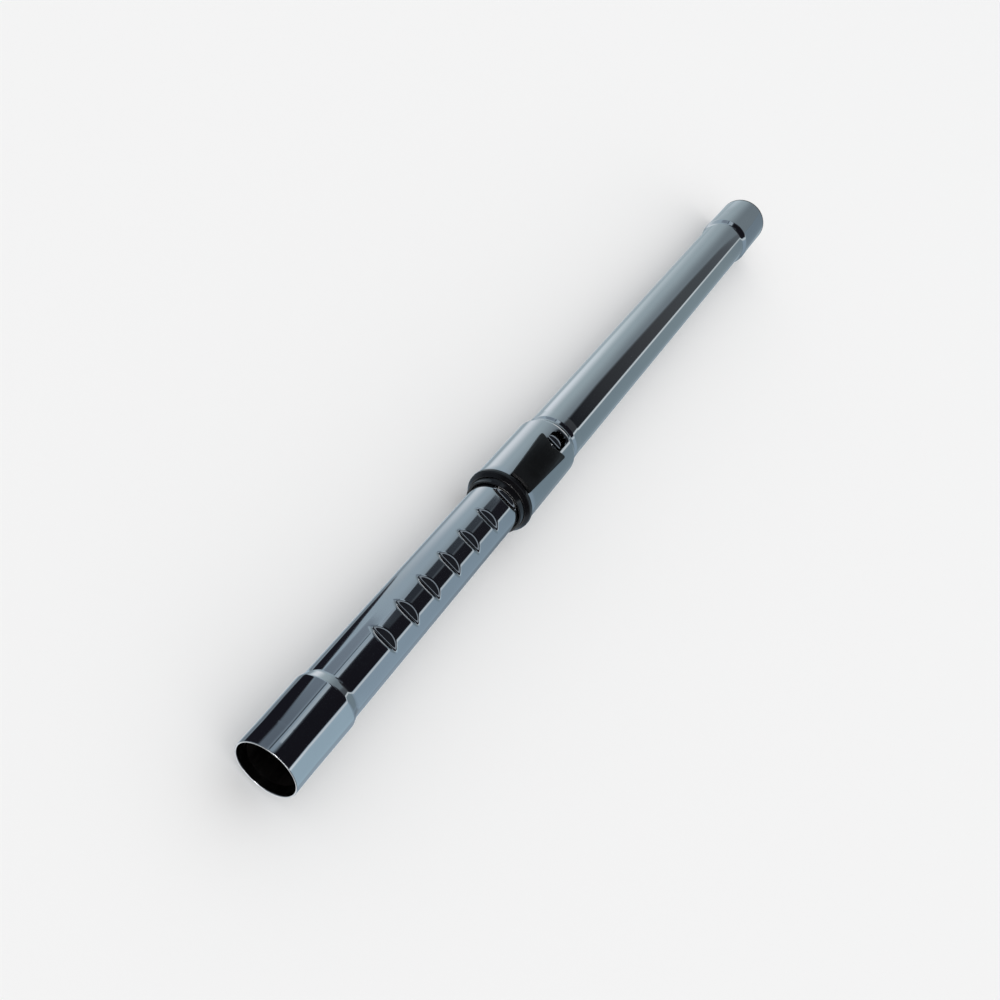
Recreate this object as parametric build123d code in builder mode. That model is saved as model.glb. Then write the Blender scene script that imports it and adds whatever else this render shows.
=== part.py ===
from build123d import *
from math import cos, hypot, radians, sin, tan
import os

# Telescopic vacuum wand, in millimetres. X runs along the wand from the socket mouth at x = 0
# to the nozzle end, and the button faces +Z.

# Inner tube: chromed steel, spigot flare at the nozzle end
inner_od = 32.0
inner_wall = 0.8
spigot_rise = 1.05
spigot_taper = 0.35
spigot_land = 15.0
spigot_length = 43.6
spigot_neck = 4.6
neck_bend = 8.0
rim_round = 0.3

# Notches pressed across the inner tube
notch_count = 13
notch_pitch = 20.6
first_notch = 83.0
notch_depth = 2.2
notch_radius = 3.65
tail_length = 83.0
engaged_notch = 7

# Outer tube: chromed steel, socket flare at one end and collar at the other
outer_length = 437.0
outer_wall = 0.8
tube_gap = 0.8
crown_rise = 0.3
flare_land = 28.0
flare_neck = 5.0
collar_length = 57.8
shoulder_length = 5.0
waist_dip = 0.3
bead_rise = 0.35
bead_offset = 3.2
bead_length = 7.0
shoulder_bend = 5.0
waist_bend = 2.0
bead_bend = 3.0
body_bend = 20.0

# Slot in the collar under the button
slot_width = 11.4
slot_near = 5.4
slot_far = 55.8

# End ring at the collar mouth
flange_rise = 0.8
flange_length = 5.0
flange_round = 2.2
flange_face_width = 0.8
skirt_length = 4.0
skirt_gap = 0.1

# Guide sleeve inside the collar
tube_clearance = 0.3
sleeve_wall = 2.8
sleeve_gap = 0.2
nose_wall = 1.6
nose_length = 9.3
nose_round = 0.5
nose_lead = 0.8
ring_gap = 0.05
sleeve_length = 55.5
window_angle = 30.0
window_near = 18.0
spring_lug = 2.3

# Wiper ring in the nose of the sleeve
wiper_width = 3.0
wiper_thickness = 1.1
wiper_clearance = 0.05
wiper_inset = 3.3

# Locking roller
roller_d = 3.5
roller_length = 9.0
roller_inset = 9.7
roller_play = 0.1
lift = 2.32
button_travel = 6.0

# Slide button
button_length = 43.2
button_gap = 1.0
button_thickness = 2.05
button_clearance = 0.25
button_near_width = 15.2
button_far_width = 20.6
tail_depth = 5.5
tail_round = 0.6
barb_round = 1.0
edge_round = 0.45
near_bevel = 1.4
neck_near = 20.0
neck_margin = 0.6
neck_clearance = 0.25
rib_width = 4.0
rib_reach = 3.75
rib_root = 1.0
rib_floor = 1.0
rib_gap = 0.1

# Latch slider under the collar
slider_play = 0.35
slider_angle = 29.0
slider_wall = 1.4
slider_fit = 0.1
hook_depth = 0.5
hook_height = 0.6
hook_drop = 0.2
hook_inset = 1.0

# Return springs beside the slot
spring_angle = 23.5
wire_d = 0.35
coil_od = 2.25
spring_turns = 5
post_d = 1.1
post_length = 2.5

# Rear bush on the hidden end of the inner tube
bush_length = 28.0
bush_lip = 1.5
bush_lip_depth = 0.2
bush_play = 0.2
bush_fit = 0.03
bush_slit = 3.0

# Liner of the socket
socket_bore = 35.2
liner_wall = 0.65
liner_gap = 0.15
liner_flange = 1.2
liner_length = 45.0
liner_margin = 1.5
liner_stop = 2.0
liner_stop_bore = 33.8
liner_lead = 0.4

# Radii that follow
inner_r = inner_od / 2
spigot_r = inner_r + spigot_rise
body_bore_r = inner_r + tube_gap
outer_r = body_bore_r + outer_wall
sleeve_bore_r = inner_r + tube_clearance
sleeve_r = sleeve_bore_r + sleeve_wall
nose_r = sleeve_bore_r + nose_wall
collar_bore_r = sleeve_r + sleeve_gap
collar_r = collar_bore_r + outer_wall
flange_r = collar_r + flange_rise
liner_r = socket_bore / 2 + liner_wall
flare_r = liner_r + liner_gap + outer_wall
roller_r = roller_d / 2
spring_r = (sleeve_bore_r + sleeve_r) / 2

# Places along the wand
flare_length = liner_length + liner_margin
collar_mouth = outer_length
roller_x = collar_mouth - roller_inset
mouth_x = roller_x + first_notch + engaged_notch * notch_pitch
inner_length = first_notch + (notch_count - 1) * notch_pitch + tail_length
tail_x = mouth_x - inner_length
nose_x = collar_mouth + nose_length
skirt_x = collar_mouth - skirt_length
sleeve_end_x = collar_mouth - sleeve_length
window_near_x = collar_mouth - window_near
lug_x = sleeve_end_x + spring_lug
button_near_x = collar_mouth - button_gap
button_far_x = button_near_x - button_length
neck_near_x = collar_mouth - neck_near
neck_far_x = button_far_x + tail_depth + neck_margin
slider_near_x = neck_near_x + slider_wall
slider_far_x = neck_far_x - slider_wall

# Heights of the latch
notch_floor = inner_r - notch_depth
roller_z = notch_floor + roller_play + roller_r
ramp_slope = lift / button_travel
ramp_z = roller_z + (roller_r + rib_gap) * hypot(1, ramp_slope)
button_bore_r = collar_r + button_clearance
button_r = button_bore_r + button_thickness
spring_length = slider_far_x - lug_x


def sheet_profile(points, bends, wall):
    """Draw the half section of a tube wall whose outer side follows the points."""
    with BuildLine() as outline:
        outside = FilletPolyline(points, radius=bends)
        offset(outside, amount=wall, side=Side.RIGHT)
    make_face(outline.edges())


def ring_profile(x_from, x_to, r_from, r_to):
    """Draw the half section of a plain ring."""
    with Locations(((x_from + x_to) / 2, (r_from + r_to) / 2)):
        Rectangle(x_to - x_from, r_to - r_from)


def wedge_face(half_angle, reach):
    """Draw a triangle that opens upwards from the wand's axis."""
    half_width = reach * tan(radians(half_angle))
    with BuildLine() as outline:
        Polyline((0, 0), (-half_width, reach), (half_width, reach), close=True)
    make_face(outline.edges())


def box_between(low, high, mode=Mode.ADD):
    """Add or cut a box between two corners."""
    size = Vector(*high) - Vector(*low)
    with Locations(Vector(*low) + size / 2):
        Box(size.X, size.Y, size.Z, mode=mode)


# Troughs of the notches, inside the inner tube: the wall pushed inwards
trough_z = notch_floor + notch_radius
notch_places = [
    (mouth_x - first_notch - i * notch_pitch, 0, trough_z) for i in range(notch_count)
]
across = (90, 0, 0)
with BuildPart() as pressed_troughs:
    with Locations(notch_places):
        Cylinder(notch_radius + inner_wall, inner_od, rotation=across)
    with Locations(Location((mouth_x - inner_length / 2, 0, 0), (0, 90, 0))):
        Cylinder(inner_r - inner_wall / 2, inner_length, mode=Mode.INTERSECT)

# Inner tube: spigot flare, body, hidden tail, with the notches pressed across it
with BuildPart() as inner_tube:
    with BuildSketch(Plane.XZ):
        sheet_profile(
            [
                (tail_x, inner_r),
                (mouth_x - spigot_length - spigot_neck, inner_r),
                (mouth_x - spigot_length, spigot_r + spigot_taper),
                (mouth_x - spigot_land, spigot_r),
                (mouth_x, spigot_r),
            ],
            [neck_bend, neck_bend / 2, neck_bend],
            inner_wall,
        )
    revolve(axis=Axis.X)
    fillet(inner_tube.edges().group_by(Axis.X)[-1], rim_round)
    add(pressed_troughs.part)
    with Locations(notch_places):
        Cylinder(notch_radius, inner_od, rotation=across, mode=Mode.SUBTRACT)

# Outer tube: socket flare, body, bead and waist, shoulder, collar
shoulder_x = collar_mouth - collar_length
waist_x = shoulder_x - shoulder_length
with BuildPart() as outer_tube:
    with BuildSketch(Plane.XZ):
        sheet_profile(
            [
                (liner_flange, flare_r),
                (flare_land, flare_r),
                (flare_length, flare_r + crown_rise),
                (flare_length + flare_neck, outer_r),
                (waist_x - bead_offset - bead_length, outer_r),
                (waist_x - bead_offset, outer_r + bead_rise),
                (waist_x, outer_r - waist_dip),
                (shoulder_x, collar_r),
                (collar_mouth, collar_r),
            ],
            [body_bend, bead_bend, neck_bend, body_bend, bead_bend, waist_bend, shoulder_bend],
            outer_wall,
        )
    revolve(axis=Axis.X)
    with BuildSketch(Plane.XY.offset(collar_r + outer_wall)):
        with Locations((collar_mouth - (slot_near + slot_far) / 2, 0)):
            SlotOverall(slot_far - slot_near, slot_width)
    extrude(amount=-collar_r / 2, mode=Mode.SUBTRACT)

# End ring: flange with a rounded front outside the collar, skirt inside it
with BuildPart() as end_ring:
    with BuildSketch(Plane.XZ):
        with BuildLine():
            FilletPolyline(
                (collar_mouth, nose_r + ring_gap),
                (collar_mouth + flange_length, nose_r + ring_gap),
                (collar_mouth + flange_length, nose_r + flange_face_width),
                (collar_mouth + flange_length / 2, flange_r),
                (collar_mouth, flange_r),
                radius=[rim_round, rim_round, flange_round],
            )
            Line((collar_mouth, flange_r), (collar_mouth, nose_r + ring_gap))
        make_face()
        ring_profile(skirt_x, collar_mouth, nose_r + ring_gap, collar_bore_r - skirt_gap)
    revolve(axis=Axis.X)

# Guide sleeve: nose through the end ring, body with the latch window
with BuildPart() as guide_sleeve:
    with BuildSketch(Plane.XZ):
        ring_profile(sleeve_end_x, skirt_x, sleeve_bore_r, sleeve_r)
        ring_profile(skirt_x, nose_x, sleeve_bore_r, nose_r)
        nose_corners = vertices().group_by(Axis.X)[-1]
        chamfer(nose_corners.sort_by(Axis.Y)[0], nose_lead)
        fillet(vertices().group_by(Axis.X)[-1].sort_by(Axis.Y)[-1], nose_round)
        wiper_x = nose_x - wiper_inset
        with Locations((wiper_x - wiper_width / 2, sleeve_bore_r)):
            Rectangle(
                wiper_width + 2 * wiper_clearance,
                2 * (wiper_thickness + 2 * wiper_clearance - tube_clearance),
                mode=Mode.SUBTRACT,
            )
    revolve(axis=Axis.X)
    with BuildSketch(Plane.YZ.offset(lug_x)):
        wedge_face(window_angle, collar_r)
    extrude(amount=window_near_x - lug_x, mode=Mode.SUBTRACT)
    half_slot = slot_width / 2
    box_between(
        (sleeve_end_x, -half_slot, 0), (lug_x, half_slot, collar_r), mode=Mode.SUBTRACT
    )
    # Pocket that holds the roller fore and aft, and the channel of the button's rib
    pocket_half = roller_r + roller_play
    pocket_side = roller_length / 2 + roller_play
    box_between(
        (roller_x - pocket_half, -pocket_side, 0),
        (roller_x + pocket_half, pocket_side, collar_r),
        mode=Mode.SUBTRACT,
    )
    channel_half = rib_width / 2 + neck_clearance
    box_between(
        (window_near_x, -channel_half, inner_r + rib_floor - neck_clearance),
        (roller_x + rib_reach + neck_clearance, channel_half, collar_r),
        mode=Mode.SUBTRACT,
    )
    for side in (-1, 1):
        post_place = (
            lug_x + post_length / 2,
            side * spring_r * sin(radians(spring_angle)),
            spring_r * cos(radians(spring_angle)),
        )
        with Locations(Location(post_place, (0, 90, 0))):
            Cylinder(post_d / 2, post_length)

# Wiper ring
with BuildPart() as wiper_ring:
    with BuildSketch(Plane.XZ):
        wiper_in = inner_r + wiper_clearance
        ring_profile(wiper_x - wiper_width, wiper_x, wiper_in, wiper_in + wiper_thickness)
    revolve(axis=Axis.X)

# Locking roller, across the wand in the engaged notch
with BuildPart() as locking_roller:
    with Locations(Location((roller_x, 0, roller_z), (90, 0, 0))):
        Cylinder(roller_r, roller_length)
    chamfer(locking_roller.edges().filter_by(GeomType.CIRCLE), rim_round)

# Slide button: saddle on the collar, neck through the slot, rib with the ramp over the roller
with BuildPart() as slide_button:
    with BuildSketch(Plane.XZ):
        ring_profile(button_far_x, button_near_x, button_bore_r, button_r)
    revolve(axis=Axis.X)
    with BuildSketch(Plane.XY):
        with BuildLine():
            Polyline(
                (button_near_x, -button_near_width / 2),
                (button_far_x, -button_far_width / 2),
                (button_far_x + tail_depth, 0),
                (button_far_x, button_far_width / 2),
                (button_near_x, button_near_width / 2),
                close=True,
            )
        make_face()
        barbs, tail = vertices().group_by(Axis.X)[:2]
        fillet(barbs, barb_round)
        fillet(tail, tail_round)
    extrude(amount=2 * collar_r, mode=Mode.INTERSECT)
    near_top_edge = slide_button.edges().group_by(Axis.X)[-1].sort_by(Axis.Z)[-1]
    chamfer(near_top_edge, near_bevel)
    top_edges = slide_button.faces().sort_by(Axis.Z)[-1].edges().sort_by(Axis.X)
    fillet(top_edges[:-1], edge_round)
    neck_half = slot_width / 2 - neck_clearance
    neck_top = button_bore_r + edge_round
    neck_floor = inner_r + rib_floor
    box_between((neck_far_x, -neck_half, neck_floor), (neck_near_x, neck_half, neck_top))
    with BuildSketch(Plane.XZ):
        with BuildLine():
            Polyline(
                (neck_near_x - rib_root, neck_floor),
                (roller_x + (neck_floor - ramp_z) / ramp_slope, neck_floor),
                (roller_x + rib_reach, ramp_z + ramp_slope * rib_reach),
                (roller_x + rib_reach, neck_top),
                (neck_near_x - rib_root, neck_top),
                close=True,
            )
        make_face()
    extrude(amount=rib_width / 2, both=True)
    hook_low = neck_floor + hook_drop
    hook_half = neck_half - hook_inset
    box_between(
        (neck_far_x - hook_depth, -hook_half, hook_low),
        (neck_near_x + hook_depth, -channel_half - hook_drop, hook_low + hook_height),
    )
    box_between(
        (neck_far_x - hook_depth, channel_half + hook_drop, hook_low),
        (neck_near_x + hook_depth, hook_half, hook_low + hook_height),
    )

# Latch slider: carriage under the collar, round the button's neck
with BuildPart() as latch_slider:
    with BuildSketch(Plane.XZ):
        ring_profile(slider_far_x, slider_near_x, sleeve_bore_r + slider_play, sleeve_r - sleeve_gap)
    revolve(axis=Axis.X)
    with BuildSketch(Plane.YZ.offset(slider_far_x)):
        wedge_face(slider_angle, collar_r)
    extrude(amount=slider_near_x - slider_far_x, mode=Mode.INTERSECT)
    box_between(
        (neck_far_x - slider_fit, -neck_half - slider_fit, 0),
        (neck_near_x + slider_fit, neck_half + slider_fit, collar_r),
        mode=Mode.SUBTRACT,
    )
    box_between(
        (neck_near_x, -channel_half, 0), (slider_near_x, channel_half, collar_r), mode=Mode.SUBTRACT
    )
    for side in (-1, 1):
        hook_mid = side * (channel_half + hook_drop + hook_half) / 2
        hook_span = (hook_half - channel_half - hook_drop) / 2 + slider_fit
        box_between(
            (neck_far_x - hook_depth - slider_fit, hook_mid - hook_span, hook_low - slider_fit),
            (
                neck_near_x + hook_depth + slider_fit,
                hook_mid + hook_span,
                hook_low + hook_height + slider_fit,
            ),
            mode=Mode.SUBTRACT,
        )
        post_place = (
            slider_far_x - post_length / 2,
            side * spring_r * sin(radians(spring_angle)),
            spring_r * cos(radians(spring_angle)),
        )
        with Locations(Location(post_place, (0, 90, 0))):
            Cylinder(post_d / 2, post_length)

# Rear bush: split sleeve on the tail of the inner tube, with a lip over its end
with BuildPart() as rear_bush:
    with BuildSketch(Plane.XZ):
        bush_end_x = tail_x - bush_lip
        bush_outer_r = body_bore_r - bush_play
        ring_profile(bush_end_x, bush_end_x + bush_length, inner_r + bush_fit, bush_outer_r)
        ring_profile(bush_end_x, tail_x, inner_r - inner_wall - bush_lip_depth, bush_outer_r)
    revolve(axis=Axis.X)
    box_between(
        (tail_x, -bush_slit / 2, -outer_r),
        (bush_end_x + bush_length, bush_slit / 2, 0),
        mode=Mode.SUBTRACT,
    )

# Liner of the socket: flange over the rim, parallel bore, stop for the handle's spigot
with BuildPart() as end_liner:
    with BuildSketch(Plane.XZ):
        ring_profile(0, liner_length, socket_bore / 2, liner_r)
        ring_profile(0, liner_flange, socket_bore / 2, flare_r)
        ring_profile(liner_length - liner_stop, liner_length, liner_stop_bore / 2, liner_r)
        mouth_corners = vertices().group_by(Axis.X)[0].sort_by(Axis.Y)
        chamfer(mouth_corners[0], liner_lead)
        fillet(vertices().group_by(Axis.X)[0].sort_by(Axis.Y)[-1], rim_round)
    revolve(axis=Axis.X)


def return_spring(side):
    """Make the coil between the sleeve's lug and the slider, on one side of the slot."""
    coil_r = (coil_od - wire_d) / 2
    free_length = spring_length - wire_d
    place = Location(
        (
            lug_x + wire_d / 2,
            side * spring_r * sin(radians(spring_angle)),
            spring_r * cos(radians(spring_angle)),
        ),
        (0, 90, 0),
    )
    with BuildPart() as coil:
        with BuildLine():
            path = Helix(free_length / spring_turns, free_length, coil_r)
        with BuildSketch(Plane(origin=path @ 0, z_dir=path % 0)):
            Circle(wire_d / 2)
        sweep(path=path)
    return place * coil.part


return_spring_left = return_spring(1)
return_spring_right = return_spring(-1)

pieces = {
    "inner_tube": inner_tube.part,
    "outer_tube": outer_tube.part,
    "end_ring": end_ring.part,
    "guide_sleeve": guide_sleeve.part,
    "wiper_ring": wiper_ring.part,
    "locking_roller": locking_roller.part,
    "slide_button": slide_button.part,
    "latch_slider": latch_slider.part,
    "rear_bush": rear_bush.part,
    "end_liner": end_liner.part,
    "return_spring_left": return_spring_left,
    "return_spring_right": return_spring_right,
}
os.makedirs("parts", exist_ok=True)
for name, piece in pieces.items():
    piece.label = name
    export_step(piece, f"parts/{name}.step")
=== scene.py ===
import bmesh
import bpy
import numpy as np
from mathutils import Matrix, Vector


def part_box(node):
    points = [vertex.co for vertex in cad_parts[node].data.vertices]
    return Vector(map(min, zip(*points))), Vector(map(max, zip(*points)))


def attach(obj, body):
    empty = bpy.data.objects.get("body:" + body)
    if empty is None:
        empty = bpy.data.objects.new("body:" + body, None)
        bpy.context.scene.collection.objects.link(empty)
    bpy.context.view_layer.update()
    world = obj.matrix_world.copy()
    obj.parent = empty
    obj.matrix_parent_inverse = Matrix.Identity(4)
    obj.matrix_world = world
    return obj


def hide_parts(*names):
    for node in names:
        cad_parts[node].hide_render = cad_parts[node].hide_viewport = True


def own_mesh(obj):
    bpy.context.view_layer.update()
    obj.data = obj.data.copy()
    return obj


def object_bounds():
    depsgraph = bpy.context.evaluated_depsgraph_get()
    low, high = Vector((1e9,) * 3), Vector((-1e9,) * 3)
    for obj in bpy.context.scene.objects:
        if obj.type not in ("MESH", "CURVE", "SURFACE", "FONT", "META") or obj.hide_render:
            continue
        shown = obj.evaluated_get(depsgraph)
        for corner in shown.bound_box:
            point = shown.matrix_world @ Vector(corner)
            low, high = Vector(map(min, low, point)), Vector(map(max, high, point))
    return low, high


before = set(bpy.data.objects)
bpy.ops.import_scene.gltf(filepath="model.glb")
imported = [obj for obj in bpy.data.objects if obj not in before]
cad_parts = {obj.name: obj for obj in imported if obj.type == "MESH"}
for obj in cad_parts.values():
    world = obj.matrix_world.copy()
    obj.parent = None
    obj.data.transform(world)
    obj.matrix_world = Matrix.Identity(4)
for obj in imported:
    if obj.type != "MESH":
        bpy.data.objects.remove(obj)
cad_box = [list(corner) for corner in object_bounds()]

# Places read from the frame, in metres
mm = 0.001
inner_low, inner_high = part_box("inner_tube")
outer_low, outer_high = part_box("outer_tube")
_, liner_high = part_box("end_liner")
_, sleeve_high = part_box("guide_sleeve")
flange_low, flange_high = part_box("end_ring")
mouth_x = inner_high.x
collar_x = outer_high.x
floor_z = cad_box[0][2]

# Both tubes: the wall, and the rounding of its cut rims
wall = 0.8 * mm
rim = 0.3 * mm
rim_steps = 6

# Inner tube: the spigot at its mouth, and the notches in a row along its top
inner_r = 16.0 * mm
spigot_r = inner_r + 1.05 * mm
spigot_shoulder_r = spigot_r + 0.35 * mm
spigot_land, spigot_length, spigot_neck = 15 * mm, 43.6 * mm, 4.6 * mm
spigot_bends = [8 * mm, 4 * mm, 8 * mm]
notch_depth, notch_half, notch_bottom = 2.2 * mm, 3.3 * mm, 0.9 * mm
notch_pitch, first_notch, notch_count = 20.6 * mm, 83 * mm, 13
lip = 1.1 * mm

# Outer tube: flare, body, bead, shoulder and collar, with the slot in the collar's top
body_r = inner_r + 1.6 * mm
flare_r = liner_high.z
crown_r = flare_r + 0.3 * mm
collar_r = outer_high.z
flare_land, flare_length, flare_neck = 28 * mm, 46.5 * mm, 5 * mm
collar_length, shoulder_length = 57.8 * mm, 5 * mm
bead_offset, bead_length = 3.2 * mm, 7 * mm
bead_r, waist_r = body_r + 0.35 * mm, body_r - 0.3 * mm
outer_bends = [20 * mm, 3 * mm, 8 * mm, 20 * mm, 3 * mm, 2 * mm, 5 * mm]
slot_half, slot_near, slot_far = 5.7 * mm, 5.4 * mm, 55.8 * mm

# Edges past these angles, in degrees, are shaded sharp
moulding_sharp, sheet_sharp = 28, 40


# Meshes: grids of points, worked out as whole arrays

def grid_faces(rows, columns, wrap_rows=False, wrap_columns=True):
    """Quads of a grid stored row by row; a wrapped direction joins its last line to its first."""
    i = np.arange(rows if wrap_rows else rows - 1)[:, None]
    j = np.arange(columns if wrap_columns else columns - 1)[None, :]
    below, right = (i + 1) % rows, (j + 1) % columns
    corners = [
        i * columns + j, i * columns + right, below * columns + right, below * columns + j,
    ]
    return np.stack([np.broadcast_to(c, (i.size, j.size)) for c in corners], -1).reshape(-1, 4)


def add_object(name, data):
    """Put a mesh or a camera into the scene as an object."""
    added = bpy.data.objects.new(name, data)
    bpy.context.scene.collection.objects.link(added)
    return added


def shade_smooth(mesh, sharp=None):
    """Shade a mesh smooth, but for the edges past the sharp angle where one is given."""
    mesh.polygons.foreach_set("use_smooth", np.ones(len(mesh.polygons), bool))
    if sharp is not None:
        mesh.set_sharp_from_angle(angle=np.radians(sharp))


def new_piece(name, points, faces, materials, chosen=None, sharp=None):
    """Make a mesh of points and quads, with the quads turned so that they face outward.

    They do when the enclosed volume is positive: the sum, over the quads, of the x of the first
    corner times the x of the cross product of the diagonals."""
    points = points.reshape(-1, 3)
    corner = points[faces]
    diagonals = np.cross(corner[:, 2] - corner[:, 0], corner[:, 3] - corner[:, 1])
    if (corner[:, 0] * diagonals).sum() < 0:
        faces = faces[:, ::-1]
    mesh = bpy.data.meshes.new(name)
    mesh.from_pydata(points.tolist(), [], faces.tolist())
    for material in materials:
        mesh.materials.append(material)
    if chosen is not None:
        mesh.polygons.foreach_set("material_index", chosen.astype(np.int32))
    shade_smooth(mesh, sharp)
    mesh.update()
    return add_object(name, mesh)


def moulded_copy(name, node, material):
    """Copy a CAD node with its loose triangles welded into one surface."""
    weld = 0.002 * mm
    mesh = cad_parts[node].data.copy()
    mesh.name = name
    loose = bmesh.new()
    loose.from_mesh(mesh)
    bmesh.ops.remove_doubles(loose, verts=loose.verts, dist=weld)
    loose.to_mesh(mesh)
    loose.free()
    mesh.materials.clear()
    mesh.materials.append(material)
    shade_smooth(mesh, moulding_sharp)
    return add_object(name, mesh)


def filleted(corners, radii, steps=9):
    """Round each inner corner of a line of (x, r) corners: an arc that touches both of its runs."""
    line = [np.array(corners[0])[None]]
    for before, at, after, radius in zip(corners, corners[1:], corners[2:], radii):
        before, at, after = (np.array(p, float) for p in (before, at, after))
        to_before = (before - at) / np.linalg.norm(before - at)
        to_after = (after - at) / np.linalg.norm(after - at)
        half = np.arccos(np.clip(to_before @ to_after, -1, 1)) / 2
        middle = (to_before + to_after) / np.linalg.norm(to_before + to_after)
        centre = at + middle * radius / np.sin(half)
        turn = (np.pi / 2 - half) * np.linspace(1, -1, steps)[:, None]
        side = (to_before - to_after) / np.linalg.norm(to_before - to_after)
        line.append(centre + radius * (np.sin(turn) * side - np.cos(turn) * middle))
    line.append(np.array(corners[-1])[None])
    return np.concatenate(line)


def around(count, crowd=0.0):
    """Angles round the wand from +Z towards +Y: a less crowd times sin(a), so closer on top."""
    even = np.linspace(0, 2 * np.pi, count, endpoint=False)
    return even - crowd * np.sin(even)


def turned(name, profile, materials, count):
    """Turn a closed (x, r) profile round the wand: x, r sin(a), r cos(a)."""
    angle = around(count)
    x, r = profile[:, :1], profile[:, 1:]
    points = np.stack([x + 0 * angle, r * np.sin(angle), r * np.cos(angle)], -1)
    faces = grid_faces(len(profile), count, wrap_rows=True)
    return new_piece(name, points, faces, materials, sharp=sheet_sharp)


# Materials

def linear(hex_colour):
    """Turn an sRGB hex value into linear red, green, blue and full alpha."""
    srgb = np.array([int(hex_colour[i:i + 2], 16) for i in (1, 3, 5)]) / 255
    value = np.where(srgb <= 0.04045, srgb / 12.92, ((srgb + 0.055) / 1.055) ** 2.4)
    return (*value.tolist(), 1.0)


def add_node(tree, kind, settings=None, links=None):
    """Add a node, set its properties and inputs, and link other nodes' outputs to its inputs."""
    node = tree.nodes.new(kind)
    for key, value in (settings or {}).items():
        if key in node.inputs:
            node.inputs[key].default_value = value
        else:
            setattr(node, key, value)
    for key, output in (links or {}).items():
        tree.links.new(output, node.inputs[key])
    return node


def new_material(name, base, metallic, roughness, specular=0.5):
    """Start a material: its tree, its shader and its Object coordinates."""
    material = bpy.data.materials.new(name)
    material.use_nodes = True
    tree = material.node_tree
    shader = tree.nodes["Principled BSDF"]
    shader.inputs["Base Color"].default_value = linear(base)
    shader.inputs["Metallic"].default_value = metallic
    shader.inputs["Roughness"].default_value = roughness
    shader.inputs["Specular IOR Level"].default_value = specular
    place = add_node(tree, "ShaderNodeTexCoord").outputs["Object"]
    return material, tree, shader, place


def noise(tree, place, size, stretch=(1, 1, 1), detail=2.0, rough=0.5):
    """Noise with features of the given size in metres, stretched along the axes."""
    scale = tuple(s / size for s in stretch)
    mapping = add_node(tree, "ShaderNodeMapping", {"Scale": scale}, {"Vector": place})
    settings = {"Scale": 1.0, "Detail": detail, "Roughness": rough}
    links = {"Vector": mapping.outputs[0]}
    return add_node(tree, "ShaderNodeTexNoise", settings, links).outputs["Fac"]


def spread(tree, value, low, high):
    """Bring a noise value from about 0.3 to 0.7 into the range low to high."""
    settings = {"From Min": 0.3, "From Max": 0.7, "To Min": low, "To Max": high}
    return add_node(tree, "ShaderNodeMapRange", settings, {"Value": value}).outputs[0]


def add_roughness(tree, shader, value, low, high):
    """Let a noise value drive the roughness between low and high."""
    tree.links.new(spread(tree, value, low, high), shader.inputs["Roughness"])


def add_tint(tree, shader, value, low, high):
    """Let a noise value drive the base colour between two sRGB hex colours."""
    # The Mix node's sockets have the same names for numbers and colours, so they go by place
    share, colour_a, colour_b, colour_result = 0, 6, 7, 2
    node = add_node(tree, "ShaderNodeMix", {"data_type": "RGBA"})
    node.inputs[colour_a].default_value = linear(low)
    node.inputs[colour_b].default_value = linear(high)
    tree.links.new(spread(tree, value, 0, 1), node.inputs[share])
    tree.links.new(node.outputs[colour_result], shader.inputs["Base Color"])


def add_bump(tree, shader, height, strength, distance):
    """Let a noise value raise the surface by up to the distance."""
    settings = {"Strength": strength, "Distance": distance}
    bump = add_node(tree, "ShaderNodeBump", settings, {"Height": height})
    tree.links.new(bump.outputs[0], shader.inputs["Normal"])


def polished_chrome():
    """Chromium over nickel on drawn steel tube: a mirror, with faint lengthwise draw lines."""
    material, tree, shader, place = new_material("chromium_plate", "#c3c4c4", 1.0, 0.04)
    clouds = noise(tree, place, 30 * mm, (0.3, 1, 1), detail=3.0)
    add_tint(tree, shader, clouds, "#bfc0c2", "#c9cacb")
    # Draw lines lie about 1.2 mm apart and run for decimetres along the tube
    lines = noise(tree, place, 1.2 * mm, (0.008, 1, 1))
    wipes = noise(tree, place, 9 * mm, (0.15, 1, 1), detail=4.0, rough=0.6)
    add_roughness(tree, shader, wipes, 0.025, 0.085)
    add_bump(tree, shader, lines, strength=0.06, distance=0.02 * mm)
    return material


def raw_bore():
    """Cold rolled steel that the plating bath hardly reached: dull, grey brown and rough."""
    material, tree, shader, place = new_material("raw_steel_bore", "#4a4644", 0.85, 0.5)
    stain = noise(tree, place, 12 * mm, (0.3, 1, 1), detail=4.0, rough=0.6)
    add_tint(tree, shader, stain, "#383330", "#5a5552")
    add_roughness(tree, shader, stain, 0.6, 0.42)
    return material


def gloss_black():
    """ABS moulded against polished steel: deep black with a clear gloss and slight waviness."""
    material, tree, shader, place = new_material("polished_black_abs", "#0c0c0e", 0.0, 0.16)
    flow = noise(tree, place, 4 * mm)
    add_roughness(tree, shader, flow, 0.12, 0.22)
    add_bump(tree, shader, flow, strength=0.08, distance=0.05 * mm)
    return material


def satin_black(name, specular):
    """Plastic moulded against spark-eroded steel: black, with a grain that scatters the gloss."""
    material, tree, shader, place = new_material(name, "#0a0a0b", 0.0, 0.38, specular)
    # The grain is about 0.25 mm
    grain = noise(tree, place, 0.25 * mm)
    hands = noise(tree, place, 6 * mm, detail=3.0)
    add_roughness(tree, shader, hands, 0.32, 0.46)
    add_bump(tree, shader, grain, strength=0.25, distance=0.02 * mm)
    return material


def natural_acetal():
    """Acetal moulding, unpigmented: milky white with a waxy sheen and soft depth."""
    material, tree, shader, place = new_material("natural_acetal", "#dcd9cd", 0.0, 0.35)
    depth = noise(tree, place, 5 * mm)
    add_tint(tree, shader, depth, "#d5d1c2", "#e3e1d8")
    shader.inputs["Subsurface Weight"].default_value = 0.15
    shader.inputs["Subsurface Radius"].default_value = (1 * mm, 0.9 * mm, 0.7 * mm)
    return material


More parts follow.
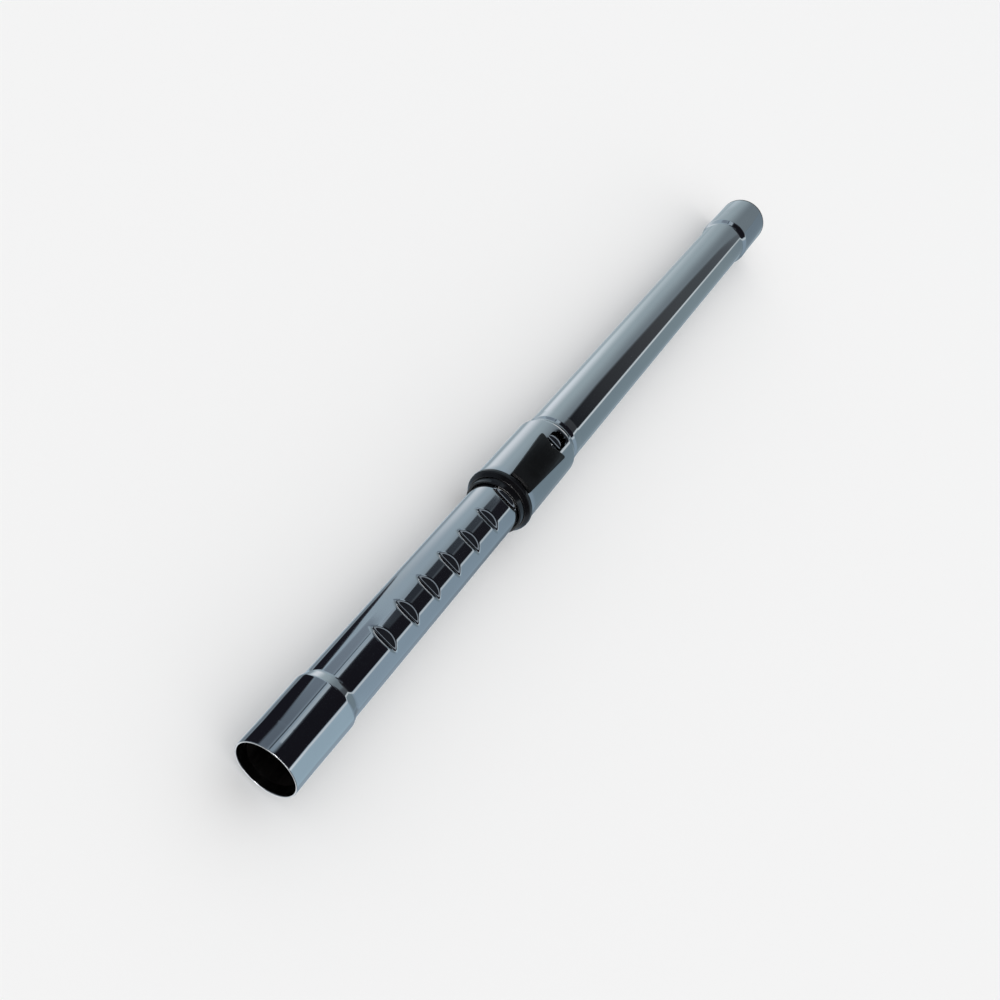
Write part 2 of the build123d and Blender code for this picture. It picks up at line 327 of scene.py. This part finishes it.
def ground_steel():
    """Centreless-ground hardened steel: bright, with fine rings round the roller."""
    material, tree, shader, place = new_material("ground_steel", "#b5b5b6", 1.0, 0.22)
    # Grinding marks lie about 0.15 mm apart along the roller
    rings = noise(tree, place, 0.15 * mm, (0.05, 1, 0.05))
    add_roughness(tree, shader, rings, 0.16, 0.32)
    return material


def spring_wire():
    """Patented spring wire, oiled: dark steel with drawn streaks."""
    material, tree, shader, place = new_material("spring_wire", "#86868a", 1.0, 0.3)
    streaks = noise(tree, place, 0.2 * mm)
    add_roughness(tree, shader, streaks, 0.22, 0.42)
    return material


def wool_felt():
    """Pressed wool felt: grey, matt, with tangled fibres."""
    material, tree, shader, place = new_material("wool_felt", "#56565a", 0.0, 0.95, 0.2)
    # The fibres show at about 0.3 mm
    fibres = noise(tree, place, 0.3 * mm, detail=5.0, rough=0.7)
    add_tint(tree, shader, fibres, "#444448", "#6a6a6e")
    shader.inputs["Sheen Weight"].default_value = 0.4
    add_bump(tree, shader, fibres, strength=0.8, distance=0.1 * mm)
    return material


chrome = polished_chrome()
bore = raw_bore()
gloss = gloss_black()
satin = satin_black("eroded_black_abs", 0.35)
worn_satin = satin_black("eroded_black_polypropylene", 0.08)
acetal = natural_acetal()
steel = ground_steel()
wire = spring_wire()
felt = wool_felt()


# Tubes

def sheet_loop(outline, inner_outline, thickness):
    """Close a tube wall: the outer (x, r) line, a rim, the line in the bore and a rim.

    The bore's line is set in by the thickness along its normals, and the rims are round. Also
    tells which rows of the loop lie in the bore."""
    run = np.gradient(inner_outline, axis=0)
    normal = np.stack([-run[:, 1], run[:, 0]], -1) / np.linalg.norm(run, axis=1)[:, None]
    inside = inner_outline - normal * thickness
    turn = np.linspace(0, np.pi / 2, rim_steps)[:, None]
    corner = np.array([np.sin(turn), np.cos(turn)])[..., 0].T
    end, start = outline[-1], outline[0]
    loop = [
        outline[1:-1],
        end + [-rim, -rim] + rim * corner,
        end + [-rim, rim - thickness] + rim * corner[::-1] * [1, -1],
        inside[1:-1][::-1],
        start + [rim, rim - thickness] - rim * corner,
        start + [rim, -rim] + rim * corner[::-1] * [-1, 1],
    ]
    rows = [len(outline) - 2 + 2 * rim_steps, len(inside) - 2, 2 * rim_steps]
    return np.concatenate(loop), np.repeat([False, True, False], rows)


def groove_height(x, below):
    """Height of the nearest notch at x: a V with a rounded bottom, sqrt((slope dx)^2 + bottom^2).

    In the bore it lies below the outside's by the wall, and its bottom is rounder by as much."""
    first = mouth_x - first_notch
    nearest = np.clip(np.round((first - x) / notch_pitch), 0, notch_count - 1)
    offset = x - (first - nearest * notch_pitch)
    bottom = notch_bottom + below
    slope = np.sqrt((notch_depth + notch_bottom) ** 2 - notch_bottom ** 2) / notch_half
    depth = np.hypot(slope * offset, bottom) - 2 * below
    return inner_r - notch_depth - notch_bottom + depth


def soft_minimum(a, b, blend):
    """The lower of two heights, less near^2 blend / 4, where near is 1 - |a - b| / blend or 0."""
    near = np.clip(blend - np.abs(a - b), 0, None) / blend
    return np.minimum(a, b) - near ** 2 * blend / 4


def inner_tube():
    """The notched tube: a profile turned round the wand, its top pressed down in each notch."""
    corners = [
        (inner_low.x, inner_r),
        (mouth_x - spigot_length - spigot_neck, inner_r),
        (mouth_x - spigot_length, spigot_shoulder_r),
        (mouth_x - spigot_land, spigot_r),
        (mouth_x, spigot_r),
    ]
    line = filleted(corners, spigot_bends)
    centres = mouth_x - first_notch - notch_pitch * np.arange(notch_count)
    # Steps along each notch, outside and in the bore, up to a reach counted in notch halves
    outer_steps, bore_steps, reach = 37, 11, 1.45
    outlines = []
    for steps in (outer_steps, bore_steps):
        pressed = centres[:, None] + np.linspace(-reach, reach, steps) * notch_half
        x = np.unique(np.concatenate([line[:, 0], pressed.ravel()]).round(7))
        outlines.append(np.stack([x, np.interp(x, line[:, 0], line[:, 1])], -1))
    loop, in_bore = sheet_loop(*outlines, wall)
    angle = around(count=132, crowd=0.7)
    x, r = loop[:, :1] + 0 * angle, loop[:, 1:] + 0 * angle
    y, z = r * np.sin(angle), r * np.cos(angle)
    inside = (r < inner_r - wall / 2) & (x < mouth_x - spigot_length)
    groove = np.where(inside, groove_height(x, wall), groove_height(x, 0))
    z = np.where(z > 0, soft_minimum(z, groove, lip), z)
    faces = grid_faces(len(loop), len(angle), wrap_rows=True)
    points = np.stack([x, y, z], -1)
    chosen = in_bore[faces[:, 0] // len(angle)]
    return new_piece("inner_tube_steel", points, faces, [chrome, bore], chosen, sheet_sharp)


def slot_half_width(x):
    """Half the width of the slot at x: parallel sides with full round ends."""
    low, high = collar_x - slot_far, collar_x - slot_near
    from_end = np.clip(np.minimum(x - low, high - x), 0, slot_half)
    return np.sqrt(np.clip(slot_half ** 2 - (slot_half - from_end) ** 2, 0, None))


def outer_tube():
    """The collared tube: rings x, r sin(a), r cos(a) that open round the slot, and the slot's wall.

    A ring's opening is the arcsine of the slot's half width over its radius."""
    shoulder_x = collar_x - collar_length
    waist_x = shoulder_x - shoulder_length
    corners = [
        (outer_low.x, flare_r),
        (flare_land, flare_r),
        (flare_length, crown_r),
        (flare_length + flare_neck, body_r),
        (waist_x - bead_offset - bead_length, body_r),
        (waist_x - bead_offset, bead_r),
        (waist_x, waist_r),
        (shoulder_x, collar_r),
        (collar_x, collar_r),
    ]
    line = filleted(corners, outer_bends)
    # Rows crowd together towards the tips of the slot's round ends
    end_steps, columns = 25, 241
    bend = np.sin(np.linspace(0, np.pi / 2, end_steps))
    ends = [
        collar_x - slot_far + slot_half * (1 - bend),
        collar_x - slot_near - slot_half * (1 - bend),
    ]
    x = np.unique(np.concatenate([line[:, 0], *ends]).round(7))
    outline = np.stack([x, np.interp(x, line[:, 0], line[:, 1])], -1)
    loop, in_bore = sheet_loop(outline, outline, wall)
    half = slot_half_width(loop[:, 0])
    opening = np.arcsin(np.clip(half / loop[:, 1], 0, 1))[:, None]
    even = np.linspace(0, 2 * np.pi, columns)
    angle = opening + (2 * np.pi - 2 * opening) * even / (2 * np.pi)
    r = loop[:, 1:]
    points = np.stack([loop[:, :1] + 0 * angle, r * np.sin(angle), r * np.cos(angle)], -1)
    skin = grid_faces(len(loop), columns, wrap_rows=True, wrap_columns=False)
    # The slot's wall joins each outer row to the inner row below it, on both sides
    count = len(outline) - 2
    outer_rows = np.flatnonzero((half > 0) & (np.arange(len(loop)) < count))
    rows = np.arange(outer_rows[0] - 1, outer_rows[-1] + 2)
    facing = 2 * count + 2 * rim_steps - 1 - rows
    left = np.stack([rows[:-1], rows[1:], facing[1:], facing[:-1]], -1) * columns
    right = left[:, ::-1] + columns - 1
    faces = np.concatenate([skin, left, right])
    chosen = np.concatenate([in_bore[skin[:, 0] // columns], np.zeros(2 * len(left), bool)])
    return new_piece("outer_tube_steel", points, faces, [chrome, bore], chosen, sheet_sharp)


tube_inside = inner_tube()
tube_outside = outer_tube()


# Mouldings and springs

def end_ring():
    """The flange at the collar's mouth, with its rounded front, and the skirt inside the collar."""
    back, front, skirt = collar_x, flange_high.x, flange_low.x
    # The sleeve's nose is 1.2 mm below its body, and the ring clears it by 0.05 mm
    hole_r = sleeve_high.z - 1.2 * mm + 0.05 * mm
    flange_r = flange_high.z
    skirt_r = sleeve_high.z + 0.1 * mm
    face_r = hole_r + 0.75 * mm
    corners = [
        (skirt, hole_r), (skirt, skirt_r), (back, skirt_r), (back, flange_r),
        ((back + front) / 2, flange_r), (front, face_r), (front, hole_r), (skirt, hole_r),
    ]
    bends = [0.15 * mm, 0.05 * mm, 0.35 * mm, 2.2 * mm, 0.3 * mm, 0.3 * mm]
    # The line ends where it began, so its first point is left out
    profile = filleted(corners, bends)[1:][::-1]
    return turned("end_ring_moulding", profile, [gloss], count=200)


ring = end_ring()
sleeve = moulded_copy("guide_sleeve_moulding", "guide_sleeve", gloss)
button = moulded_copy("slide_button_moulding", "slide_button", satin)
slider = moulded_copy("latch_slider_moulding", "latch_slider", acetal)
roller = moulded_copy("locking_roller_pin", "locking_roller", steel)
bush = moulded_copy("rear_bush_moulding", "rear_bush", acetal)
liner = moulded_copy("end_liner_moulding", "end_liner", worn_satin)
wiper = moulded_copy("wiper_felt", "wiper_ring", felt)


def return_spring(name, low, high):
    """A coil of wire: a circle carried round a helix about X, with its ends cut square."""
    wire_r, turns = 0.175 * mm, 5
    steps_per_turn, sides = 24, 12
    centre_y, centre_z = (low.y + high.y) / 2, (low.z + high.z) / 2
    coil_r = (high.z - low.z) / 2 - wire_r
    turn = np.linspace(0, 2 * np.pi * turns, steps_per_turn * turns + 1)[:, None]
    pitch = (high.x - low.x - 2 * wire_r) / (2 * np.pi * turns)
    angle = np.linspace(0, 2 * np.pi, sides, endpoint=False)
    slope = np.arctan2(pitch, coil_r)
    out = coil_r + wire_r * np.cos(angle)
    up = wire_r * np.sin(angle)
    x = low.x + wire_r + pitch * turn + up * np.cos(slope)
    y = centre_y + out * np.cos(turn) + up * np.sin(slope) * np.sin(turn)
    z = centre_z + out * np.sin(turn) - up * np.sin(slope) * np.cos(turn)
    points = np.stack([x, y, z], -1)
    tube = grid_faces(len(turn), sides)
    # Each cap is a ladder of quads across the wire's circle
    k = np.arange(sides // 2 - 1)
    cap = np.stack([k, k + 1, sides - 2 - k, sides - 1 - k], -1)
    faces = np.concatenate([tube, cap[:, ::-1], cap + (len(turn) - 1) * sides])
    return new_piece(name, points, faces, [wire])


spring_left = return_spring("return_spring_left_coil", *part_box("return_spring_left"))
spring_right = return_spring("return_spring_right_coil", *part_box("return_spring_right"))

# Each piece with the body it rides, the CAD node it replaces and its material slot
pieces = [
    (tube_inside, "inner", "inner_tube", "chrome"),
    (tube_outside, "outer", "outer_tube", "chrome"),
    (ring, "outer", "end_ring", "gloss_black"),
    (sleeve, "outer", "guide_sleeve", "gloss_black"),
    (button, "button", "slide_button", "satin_black"),
    (slider, "button", "latch_slider", "natural_acetal"),
    (roller, "roller", "locking_roller", "ground_steel"),
    (bush, "inner", "rear_bush", "natural_acetal"),
    (liner, "outer", "end_liner", "satin_black"),
    (wiper, "outer", "wiper_ring", "grey_felt"),
    (spring_left, "outer", "return_spring_left", "spring_steel"),
    (spring_right, "outer", "return_spring_right", "spring_steel"),
]
for piece, body, node, slot in pieces:
    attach(piece, body)
    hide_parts(node)

# Each spring gets a mesh of its own; in the wand the springs shorten by the button's travel
for spring in (spring_left, spring_right):
    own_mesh(spring)


# Camera: where the photograph was taken from, fitted to the tubes' edges, rims and notches

camera_place = Vector((mouth_x + 0.20558, -0.06224, 0.44356))
forward = Vector((-0.68593, 0.10127, -0.72059))
right = Vector((-0.47679, 0.68553, 0.55021))
up = Vector((-0.54970, -0.72097, 0.42194))
camera_turned = Matrix((right, up, -forward)).transposed().to_4x4()
camera_data = bpy.data.cameras.new("camera")
camera_data.lens = 38.16
camera_data.clip_start, camera_data.clip_end = 0.01, 100
camera = add_object("camera", camera_data)
camera.matrix_world = Matrix.Translation(camera_place) @ camera_turned
bpy.context.scene.camera = camera
bpy.context.scene.view_settings.view_transform = "Standard"


# Stage: the light tent that the chrome mirrors, the paper floor and the white world

tent_r, layer_gap = 3.0, 0.02
# Chromium sends back 0.55 of the light, so the cloth glows by the inverse of that
tent_glow = 1.8
camera_height = np.hypot(camera_place.y, camera_place.z)
camera_turn = np.arctan2(camera_place.y, camera_place.z)


def tent_material():
    """Cards of the light tent: each glows by its own tone and thins out along its soft edges."""
    material = bpy.data.materials.new("tent_cloth")
    material.use_nodes = True
    tree = material.node_tree
    tree.nodes.clear()
    tone = add_node(tree, "ShaderNodeAttribute", {"attribute_name": "tone"})
    cover = add_node(tree, "ShaderNodeAttribute", {"attribute_name": "cover"})
    links = {"Color": tone.outputs["Color"]}
    glow = add_node(tree, "ShaderNodeEmission", {"Strength": tent_glow}, links)
    clear = add_node(tree, "ShaderNodeBsdfTransparent")
    mixed = add_node(tree, "ShaderNodeMixShader", {}, {"Fac": cover.outputs["Fac"]})
    tree.links.new(clear.outputs[0], mixed.inputs[1])
    tree.links.new(glow.outputs[0], mixed.inputs[2])
    add_node(tree, "ShaderNodeOutputMaterial", {}, {"Surface": mixed.outputs[0]})
    return material


tent_cloth = tent_material()


def tent_card(name, knots, soft, layer, gain=1.0):
    """A card on the inside of the tent, a tube round the wand.

    Each knot gives the card's edges and its tone where the camera sees it in the wand:
    millimetres from the mouth, degrees from the camera's side at which it begins and ends, and
    an sRGB hex colour. A mirror ray that leaves the wand as steeply as the camera looks in meets
    the tent at x - r * (camera_x - x) / camera_height, at twice the side's angle. Soft gives the
    shares of the width over which the two edges fade, by s * s * (3 - 2 s), and each layer lies
    within the one before it."""
    rows, columns, least_soft = 160, 49, 1e-4
    place = np.array([knot[:3] for knot in knots], float)
    tones = np.array([linear(knot[3]) for knot in knots]) * [gain, gain, gain, 1]
    t = np.linspace(place[0, 0], place[-1, 0], rows)
    low, high = np.interp(t, place[:, 0], place[:, 1]), np.interp(t, place[:, 0], place[:, 2])
    share = np.linspace(0, 1, columns)
    angle = 2 * np.radians(low[:, None] + (high - low)[:, None] * share) + camera_turn
    r = tent_r - layer_gap * layer
    seen_x = mouth_x - t * mm
    x = seen_x - r * (camera_place.x - seen_x) / camera_height
    points = np.stack([x[:, None] + 0 * angle, r * np.sin(angle), r * np.cos(angle)], -1)
    card = new_piece(name, points, grid_faces(rows, columns, wrap_columns=False), [tent_cloth])
    colour = np.stack([np.interp(t, place[:, 0], channel) for channel in tones.T], -1)
    tone = card.data.attributes.new("tone", "FLOAT_COLOR", "POINT")
    tone.data.foreach_set("color", np.repeat(colour, columns, 0).astype(np.float32).ravel())
    rise, fall = share / max(soft[0], least_soft), (1 - share) / max(soft[1], least_soft)
    across = np.clip(np.minimum(rise, fall), 0, 1)
    across = across ** 2 * (3 - 2 * across)
    cover = card.data.attributes.new("cover", "FLOAT", "POINT")
    cover.data.foreach_set("value", np.tile(across, rows).astype(np.float32))
    for ray in ("camera", "diffuse", "transmission", "volume_scatter", "shadow"):
        setattr(card, "visible_" + ray, False)


tent_card("tent", [
    (-1400, -90, 90, "#3c424a"), (-250, -90, 90, "#4a525b"), (-60, -90, 90, "#76848f"),
    (60, -90, 90, "#85949f"), (200, -90, 90, "#8c9ba4"), (285, -90, 90, "#8b999f"),
    (600, -90, 90, "#87949a"), (1600, -90, 90, "#808e95"),
], soft=(0, 0), layer=0)
tent_card("right_sweep", [
    (-60, 26, 92, "#8da1ad"), (44, 26, 92, "#8da1ad"), (60, 26, 92, "#7e8f9c"),
    (200, 26, 92, "#748490"), (240, 26, 92, "#687780"), (420, 26, 92, "#6c7a81"),
    (560, 26, 92, "#6e7b81"), (640, 20, 92, "#63707a"), (1600, 20, 92, "#5e6a72"),
], soft=(0.03, 0.12), layer=1)
tent_card("right_edge", [
    (-60, 60, 86, "#7c8993"), (60, 60, 86, "#788590"), (100, 60, 86, "#727e88"),
    (155, 60, 86, "#67727b"), (200, 60, 86, "#59636b"), (235, 60, 86, "#6c777f"),
    (300, 60, 86, "#75828a"), (1600, 60, 86, "#75828a"),
], soft=(0.5, 0.15), layer=2)
tent_card("left_streak", [
    (110, -68, -34, "#8b979f"), (158, -68, -34, "#a0abb3"), (225, -68, -34, "#c0c6cb"),
    (300, -68, -34, "#c4cad0"), (350, -68, -34, "#bac2c8"), (420, -68, -34, "#a8b3b8"),
    (500, -68, -34, "#99a5ab"), (620, -68, -34, "#8c989e"), (760, -68, -34, "#98a4ab"),
    (1600, -68, -34, "#a8b2b9"),
], soft=(0.35, 0.6), layer=2)
tent_card("overhead_shade", [
    (110, -30, 26, "#737d84"), (285, -34, 26, "#69737a"), (620, -34, 26, "#646e74"),
    (1600, -34, 26, "#606b73"),
], soft=(0.5, 0.02), layer=2)
tent_card("near_black_left", [
    (-60, -65, -31, "#15151b"), (10, -65, -31, "#15151b"), (30, -67, -34.5, "#15151b"),
    (55, -64, -39.5, "#15151b"), (75, -65, -44.5, "#17171d"), (92, -66, -51, "#1a1b21"),
    (105, -66, -54.5, "#1f2026"), (125, -67, -62, "#2f3239"),
], soft=(0.08, 0.14), layer=3)
tent_card("near_grey_streaks", [
    (-60, -37, -15, "#525b65"), (10, -37, -15, "#56606a"), (55, -42, -15, "#636e79"),
    (95, -40, -18, "#6d7883"),
], soft=(0.2, 0.25), layer=3)
tent_card("overhead_flag", [
    (-700, -34, 60, "#1c1e22"), (-120, -34, 60, "#18191e"), (-60, -11, 25.2, "#121217"),
    (10, -11.5, 25.2, "#131318"), (55, -14, 25.2, "#131318"), (75, -15, 25.2, "#131318"),
    (95, -15.5, 25.2, "#15151a"), (113, -2, 25.2, "#15151a"), (200, -1, 25.2, "#17171c"),
    (270, -14, 25.2, "#15161b"), (300, -6, 25.2, "#16181c"), (350, -9, 25.2, "#292b2e"),
    (420, -6, 25.2, "#37393c"), (500, -2, 25.2, "#3e4245"), (560, 3, 25.2, "#464b50"),
    (600, 18, 25.2, "#565d62"),
], soft=(0.2, 0.02), layer=3)
tent_card("grey_wedge", [
    (95, -14, 3, "#3a4046"), (113, -16, 4, "#262a30"), (200, -16, 4, "#34393f"),
    (214, -15, 4, "#363b41"),
], soft=(0.15, 0.3), layer=4)
tent_card("thin_light", [
    (-60, 25.2, 30.4, "#c3ccd2"), (60, 25.2, 30.4, "#aeb7bd"), (200, 25.2, 30.4, "#a2acb2"),
    (300, 25.2, 30.4, "#b6bdc1"), (560, 25.2, 30.4, "#aeb5b8"), (640, 25.2, 30.4, "#7d878c"),
], soft=(0.2, 0.45), layer=5)
tent_card("near_dark_line", [
    (-60, -17.2, -14.2, "#3a424a"), (10, -17.2, -14.2, "#3a424a"), (55, -18.6, -15.8, "#414a53"),
    (92, -20, -17.6, "#4a545e"),
], soft=(0.3, 0.3), layer=5)
tent_card("near_light", [
    (-30, -13, -7, "#8f9aa2"), (10, -13, -7, "#929da5"), (55, -15, -8.5, "#909ba3"),
    (92, -16.5, -10.5, "#84909a"), (128, -17, -14, "#7a8791"),
], soft=(0.3, 0.15), layer=6)
tent_card("high_light", [
    (-238, -76, 72, "#747c83"), (-118, -76, 72, "#747c83"),
], soft=(0.1, 0.1), layer=7)
tent_card("front_panel", [
    (-1380, -34, 60, "#ffffff"), (-900, -34, 60, "#ffffff"),
], soft=(0.1, 0.1), layer=7, gain=2.5)
tent_card("front_lamp", [
    (-1350, -12, 6, "#ffffff"), (-760, -12, 6, "#ffffff"),
], soft=(0.3, 0.3), layer=8, gain=9.0)
tent_card("front_floor", [
    (-1380, 64, 116, "#c6cacd"), (-150, 64, 116, "#c6cacd"),
], soft=(0.2, 0.2), layer=7)
tent_card("left_edge", [
    (-60, -78, -62, "#5c656c"), (100, -78, -62, "#626b72"), (160, -78, -62, "#737e86"),
    (240, -78, -62, "#7e8990"), (300, -78, -62, "#879299"), (600, -78, -62, "#879299"),
    (1600, -78, -62, "#879299"),
], soft=(0.4, 0.5), layer=9)

floor_reach = 30
floor_corners = [
    (-floor_reach, -floor_reach, floor_z), (floor_reach, -floor_reach, floor_z),
    (floor_reach, floor_reach, floor_z), (-floor_reach, floor_reach, floor_z),
]
floor_mesh = bpy.data.meshes.new("floor")
floor_mesh.from_pydata(floor_corners, [], [(0, 1, 2, 3)])
floor = add_object("floor", floor_mesh)
paper = new_material("matt_white_paper", "#f4f4f4", 0.0, 0.9, 0.1)[0]
floor_mesh.materials.append(paper)
floor.visible_glossy = False

world = bpy.data.worlds.new("studio")
bpy.context.scene.world = world
world.use_nodes = True
world.node_tree.nodes["Background"].inputs["Color"].default_value = (1, 1, 1, 1)
world.node_tree.nodes["Background"].inputs["Strength"].default_value = 1.0
